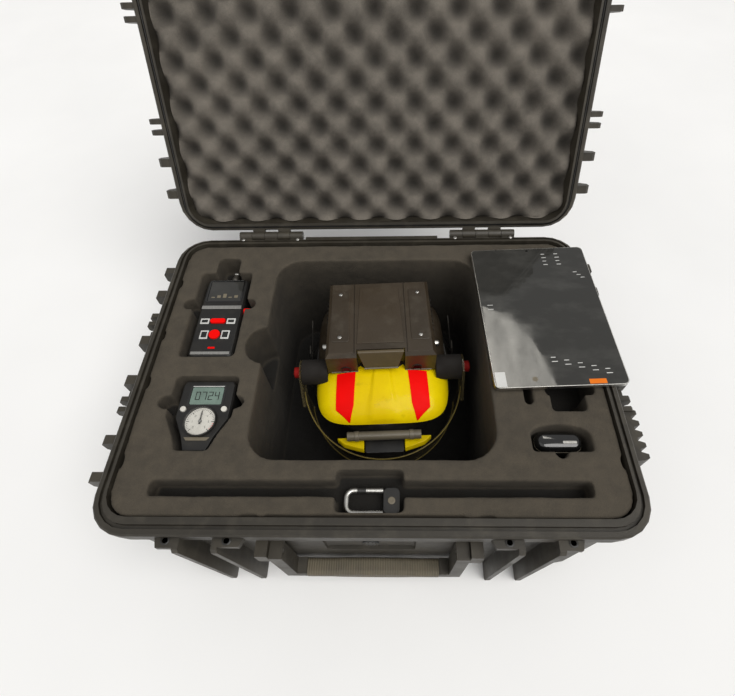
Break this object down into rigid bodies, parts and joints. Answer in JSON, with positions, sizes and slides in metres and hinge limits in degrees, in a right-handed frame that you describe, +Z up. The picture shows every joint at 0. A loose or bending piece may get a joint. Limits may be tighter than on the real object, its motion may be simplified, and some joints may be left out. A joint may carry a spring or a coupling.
{
  "type": "equipment case",
  "caption": "Rugged hinged transport case, lid open, with cut foam holding a helmet unit with a folding visor, a gas detector, a dial gauge, a tablet, a domed device and a clip.",
  "frame": {"origin": "centre of the base's flat underside", "axes": "+Z up, +X to the case's right seen from the front, the front with the carry handle faces -Y, the lid opens towards +Y"},
  "size_m": [0.676, 0.7318, 0.6771],
  "materials": {
    "case_plastic": "matte",
    "foam": "matte",
    "lid_foam": "matte",
    "gasket_rubber": "matte",
    "skirt_rubber": "matte",
    "grip_rubber": "matte",
    "pin_steel": "satin",
    "module_plastic": "satin",
    "module_cover": "satin",
    "yellow_shell": "gloss",
    "red_gloss": "gloss",
    "dark_plastic": "satin",
    "bar_grey": "satin",
    "clear_sheet": "gloss",
    "silver_metal": "satin",
    "screen_glass": "gloss",
    "lcd": "gloss",
    "white_plastic": "satin"
  },
  "bodies": {
    "case_base": {"base_shell": "case_plastic", "hinge_pin_left": "pin_steel", "hinge_pin_right": "pin_steel", "front_handle_pin_left": "pin_steel", "front_handle_pin_right": "pin_steel", "side_handle_pin_left": "pin_steel", "side_handle_pin_right": "pin_steel", "pressure_valve": "dark_plastic", "foam_insert": "foam"},
    "lid": {"lid_shell": "case_plastic", "lid_foam": "lid_foam", "lid_gasket": "gasket_rubber", "latch_pin_left": "pin_steel", "latch_pin_right": "pin_steel"},
    "left_latch": {"latch_left": "case_plastic"},
    "right_latch": {"latch_right": "case_plastic"},
    "front_handle": {"front_handle_frame": "case_plastic", "front_handle_grip": "grip_rubber"},
    "left_side_handle": {"side_handle_left": "case_plastic"},
    "right_side_handle": {"side_handle_right": "case_plastic"},
    "helmet": {"helmet_shell": "yellow_shell", "helmet_liner": "dark_plastic", "helmet_rim_band": "dark_plastic", "helmet_skirt": "skirt_rubber", "module_housing": "module_plastic", "module_nose": "module_cover", "module_lens": "screen_glass", "stripe_left": "red_gloss", "stripe_right": "red_gloss", "front_bar": "bar_grey", "brow_guard_left": "yellow_shell", "brow_guard_right": "yellow_shell", "chin_block": "dark_plastic", "side_pod_left": "dark_plastic", "side_pod_right": "dark_plastic"},
    "visor": {"helmet_visor": "clear_sheet", "visor_knob_left": "red_gloss", "visor_knob_right": "red_gloss"},
    "gas_detector": {"gas_housing": "dark_plastic", "gas_screen": "screen_glass", "gas_inlet": "pin_steel"},
    "round_key": {"gas_round_key": "red_gloss"},
    "wide_key": {"gas_wide_key": "red_gloss"},
    "gauge": {"gauge_housing": "dark_plastic", "gauge_display": "lcd", "gauge_dial_ring": "dark_plastic", "gauge_dial": "white_plastic", "gauge_lens": "clear_sheet"},
    "needle": {"gauge_needle": "dark_plastic"},
    "left_button": {"gauge_button_left": "white_plastic"},
    "right_button": {"gauge_button_right": "white_plastic"},
    "tablet": {"tablet_housing": "silver_metal", "tablet_glass": "screen_glass"},
    "volume_key": {"tablet_volume_key": "silver_metal"},
    "power_key": {"tablet_power_key": "silver_metal"},
    "domed_device": {"remote_base": "dark_plastic", "remote_cap": "screen_glass"},
    "push_strip": {"remote_strip": "silver_metal"},
    "clip": {"clip_loop": "silver_metal", "clip_hub": "dark_plastic"}
  },
  "joints": [
    {"name": "lid_hinge", "type": "hinge", "parent": "case_base", "child": "lid", "pos_m": [0, 0.2405, 0.216], "axis": [-1, 0, 0], "range_deg": [-103.5, 0]},
    {"name": "latch_left_hinge", "type": "hinge", "parent": "lid", "child": "left_latch", "pos_m": [-0.19, 0.4703, 0.6421], "axis": [-1, 0, 0], "range_deg": [0, 110]},
    {"name": "latch_right_hinge", "type": "hinge", "parent": "lid", "child": "right_latch", "pos_m": [0.19, 0.4703, 0.6421], "axis": [-1, 0, 0], "range_deg": [0, 110]},
    {"name": "front_handle_hinge", "type": "hinge", "parent": "case_base", "child": "front_handle", "pos_m": [0, -0.2345, 0.16], "axis": [-1, 0, 0], "range_deg": [0, 90]},
    {"name": "side_handle_left_hinge", "type": "hinge", "parent": "case_base", "child": "left_side_handle", "pos_m": [-0.326, 0.0065, 0.186], "axis": [0, 1, 0], "range_deg": [0, 90]},
    {"name": "side_handle_right_hinge", "type": "hinge", "parent": "case_base", "child": "right_side_handle", "pos_m": [0.326, 0.0065, 0.186], "axis": [0, -1, 0], "range_deg": [0, 90]},
    {"name": "helmet_lift", "type": "slide", "parent": "case_base", "child": "helmet", "axis": [0, 0, 1], "range_m": [0, 0.25]},
    {"name": "visor_hinge", "type": "hinge", "parent": "helmet", "child": "visor", "pos_m": [0.01046, 0.02501, 0.146], "axis": [-0.9991, -0.0419, 0], "range_deg": [0, 80]},
    {"name": "gas_detector_lift", "type": "slide", "parent": "case_base", "child": "gas_detector", "axis": [0, 0, 1], "range_m": [0, 0.1]},
    {"name": "round_key_press", "type": "slide", "parent": "gas_detector", "child": "round_key", "axis": [0, 0, -1], "range_m": [0, 0.001], "stiffness_N_per_m": 400},
    {"name": "wide_key_press", "type": "slide", "parent": "gas_detector", "child": "wide_key", "axis": [0, 0, -1], "range_m": [0, 0.001], "stiffness_N_per_m": 400},
    {"name": "gauge_lift", "type": "slide", "parent": "case_base", "child": "gauge", "axis": [0, 0, 1], "range_m": [0, 0.1]},
    {"name": "needle_turn", "type": "hinge", "parent": "gauge", "child": "needle", "pos_m": [-0.2195, -0.0883, 0.203], "axis": [0, 0, 1], "range_deg": [-135, 135]},
    {"name": "left_button_press", "type": "slide", "parent": "gauge", "child": "left_button", "axis": [0, 0, -1], "range_m": [0, 0.001], "stiffness_N_per_m": 400},
    {"name": "right_button_press", "type": "slide", "parent": "gauge", "child": "right_button", "axis": [0, 0, -1], "range_m": [0, 0.001], "stiffness_N_per_m": 400},
    {"name": "tablet_lift", "type": "slide", "parent": "case_base", "child": "tablet", "axis": [0, 0, 1], "range_m": [0, 0.15]},
    {"name": "volume_key_press", "type": "slide", "parent": "tablet", "child": "volume_key", "axis": [-0.9993, -0.0384, 0], "range_m": [0, 0.0006], "stiffness_N_per_m": 400},
    {"name": "power_key_press", "type": "slide", "parent": "tablet", "child": "power_key", "axis": [-0.9993, -0.0384, 0], "range_m": [0, 0.0006], "stiffness_N_per_m": 400},
    {"name": "domed_device_lift", "type": "slide", "parent": "case_base", "child": "domed_device", "axis": [0, 0, 1], "range_m": [0, 0.08]},
    {"name": "push_strip_press", "type": "slide", "parent": "domed_device", "child": "push_strip", "axis": [0, 0, -1], "range_m": [0, 0.0008], "stiffness_N_per_m": 400},
    {"name": "clip_lift", "type": "slide", "parent": "case_base", "child": "clip", "axis": [0, 0, 1], "range_m": [0, 0.08]}
  ]
}
